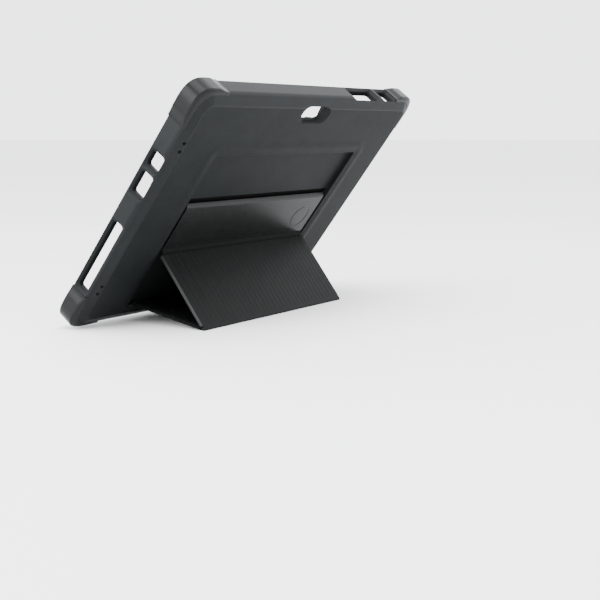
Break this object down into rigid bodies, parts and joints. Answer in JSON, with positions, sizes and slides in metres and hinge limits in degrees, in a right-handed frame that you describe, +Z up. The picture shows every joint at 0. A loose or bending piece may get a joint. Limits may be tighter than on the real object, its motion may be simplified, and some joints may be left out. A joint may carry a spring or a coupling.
{
  "type": "tablet case",
  "caption": "Rugged tablet case: soft bumper frame with port openings round a hard back plate, shock pads and ribbed liner inside, and a folding three-panel kickstand with a magnetic tab.",
  "frame": {"origin": "centre of the bounding box's footprint, on the surface that the case stands on", "axes": "+X along the case's long side, +Y horizontal towards the side that the tablet's screen faces, +Z up"},
  "size_m": [0.2596, 0.124, 0.158],
  "materials": {
    "soft_black": "matt moulded soft plastic",
    "hard_black": "fine textured matt",
    "bumper_black": "satin",
    "liner_black": "matt",
    "rail_grey": "matt",
    "keeper_grey": "satin grey coating",
    "pad_blue": "matt",
    "panel_skin": "smooth satin",
    "leg_grip": "finely grooved matt",
    "panel_core": "plain board",
    "magnet_steel": "nickel plated"
  },
  "bodies": {
    "case": {"bumper_frame": "soft_black", "back_plate": "hard_black", "corner_bumper_top_left": "bumper_black", "corner_bumper_top_right": "bumper_black", "corner_bumper_bottom_left": "bumper_black", "corner_bumper_bottom_right": "bumper_black", "rib_liner": "liner_black", "rail_inlay": "rail_grey", "shock_pad_top_left": "pad_blue", "shock_pad_top_right": "pad_blue", "shock_pad_bottom_left": "pad_blue", "shock_pad_bottom_right": "pad_blue", "keeper_plate": "keeper_grey", "anchor_strip": "panel_skin"},
    "foot_panel": {"foot_skin": "panel_skin", "foot_core": "panel_core", "foot_lining": "panel_skin", "knee_bead": "panel_skin"},
    "leg": {"leg_skin": "leg_grip", "leg_core": "panel_core", "leg_lining": "leg_grip", "tab_hinge_strip": "panel_skin"},
    "tab": {"tab_skin": "panel_skin", "tab_core": "panel_core", "tab_lining": "panel_skin", "tab_magnet_left": "magnet_steel", "tab_magnet_right": "magnet_steel"}
  },
  "joints": [
    {"name": "base_fold", "type": "hinge", "parent": "case", "child": "foot_panel", "pos_m": [0, 0.03962, 0.0122], "axis": [-1, 0, 0], "range_deg": [0, 63.96]},
    {"name": "foot_fold", "type": "hinge", "parent": "foot_panel", "child": "leg", "pos_m": [0, -0.02321, 0.0011], "axis": [1, 0, 0], "range_deg": [0, 138.21]},
    {"name": "tab_fold", "type": "hinge", "parent": "leg", "child": "tab", "pos_m": [0, 0.01139, 0.04915], "axis": [1, 0, 0], "range_deg": [0, 105.75]}
  ],
  "couplings": [
    {"joint": "foot_fold", "follows": "base_fold", "ratio": 2.1609},
    {"joint": "tab_fold", "follows": "base_fold", "ratio": 1.6533}
  ]
}
